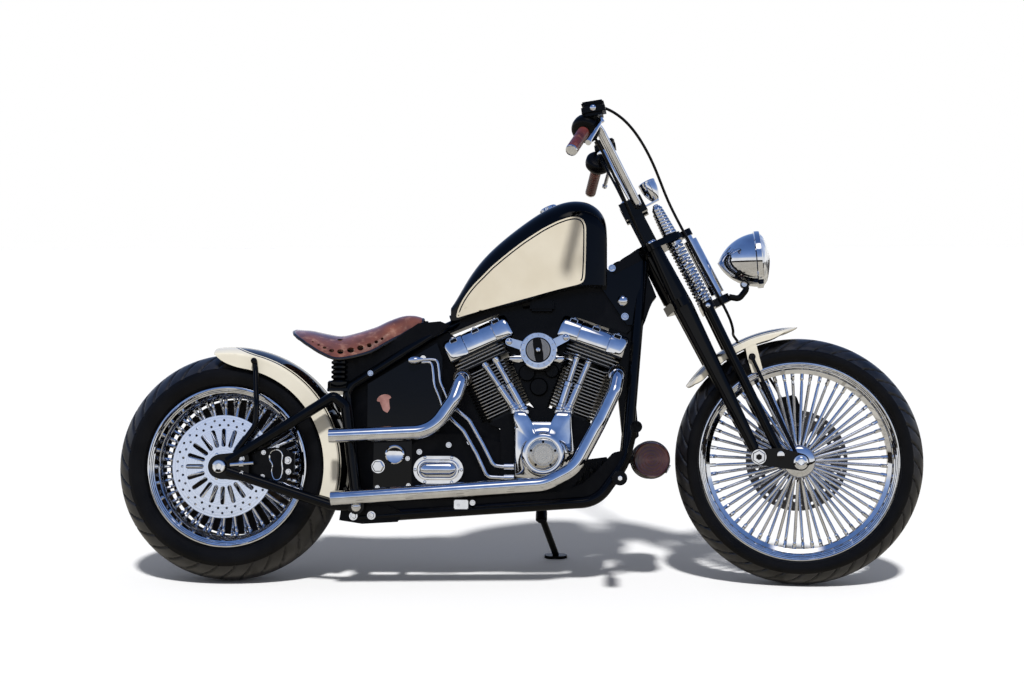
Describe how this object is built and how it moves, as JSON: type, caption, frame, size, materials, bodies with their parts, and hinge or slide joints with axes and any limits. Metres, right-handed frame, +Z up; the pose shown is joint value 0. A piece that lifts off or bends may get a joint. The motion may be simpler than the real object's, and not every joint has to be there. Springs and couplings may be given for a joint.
{
  "type": "motorcycle",
  "caption": "Long, low custom motorcycle with a V-twin engine, springer fork, high bars, solo saddle and spoked wheels, leaning on its side stand.",
  "frame": {"origin": "middle of the footprint's bounding box, on the ground", "axes": "+X forward, +Y to the rider's left, +Z up"},
  "size_m": [2.3177, 0.8578, 1.3828],
  "materials": {
    "black_paint": "gloss",
    "cream_paint": "gloss",
    "black_metal": "satin",
    "chrome": "polished",
    "alloy": "satin",
    "steel": "brushed",
    "tyre": "matte",
    "brown_leather": "satin",
    "rubber": "matte",
    "lens": "clear",
    "plastic": "matte"
  },
  "bodies": {
    "frame": {"air_cleaner": "chrome", "cam_cover": "chrome", "crankcase": "alloy", "cylinders": "black_metal", "drive_belt": "rubber", "exhaust_pipes": "chrome", "foot_controls": "chrome", "frame": "black_paint", "fuel_cap": "chrome", "fuel_tank": "black_paint", "gearbox": "alloy", "gearbox_cover": "chrome", "oil_lines": "chrome", "oil_tank": "black_paint", "primary_cover": "chrome", "pushrod_tubes": "chrome", "rear_axle": "chrome", "rear_caliper": "black_metal", "rear_fender": "cream_paint", "rocker_boxes": "chrome", "saddle": "brown_leather", "saddle_frame": "black_metal", "swingarm": "black_paint", "tool_roll": "brown_leather"},
    "fork": {"cables": "rubber", "fork_damper": "chrome", "fork_legs": "black_paint", "fork_springs": "chrome", "front_axle": "chrome", "front_caliper": "black_metal", "front_fender": "cream_paint", "grips": "brown_leather", "hand_controls": "black_metal", "handlebar": "chrome", "headlamp": "chrome", "headlamp_bracket": "black_metal", "headlamp_lens": "lens", "levers": "chrome", "rockers": "black_paint", "speedometer": "chrome", "spring_legs": "black_paint", "spring_shrouds": "chrome", "top_clamp": "black_paint"},
    "front_wheel": {"front_tyre": "tyre", "front_rim": "chrome", "front_hub": "chrome", "front_disc": "steel"},
    "rear_wheel": {"rear_tyre": "tyre", "rear_rim": "chrome", "rear_hub": "chrome", "rear_disc": "steel", "rear_pulley": "alloy"},
    "side_stand": {"side_stand": "black_metal"}
  },
  "joints": [
    {"name": "steering", "type": "hinge", "parent": "frame", "child": "fork", "pos_m": [0.42239, -0.03007, 0.86593], "axis": [-0.4539, 0.1471, 0.8788], "range_deg": [-25.3, 34.7]},
    {"name": "front_wheel_spin", "type": "hinge", "parent": "fork", "child": "front_wheel", "pos_m": [0.80873, -0.12543, 0.34861], "axis": [0.073, 0.9891, -0.1278], "continuous": true},
    {"name": "rear_wheel_spin", "type": "hinge", "parent": "frame", "child": "rear_wheel", "pos_m": [-0.83095, -0.12064, 0.32487], "axis": [0, 0.9863, -0.165], "continuous": true},
    {"name": "side_stand_pivot", "type": "hinge", "parent": "frame", "child": "side_stand", "pos_m": [0.06902, -0.006, 0.16159], "axis": [0.0001, 0.685, 0.7285], "range_deg": [0, 95]}
  ]
}
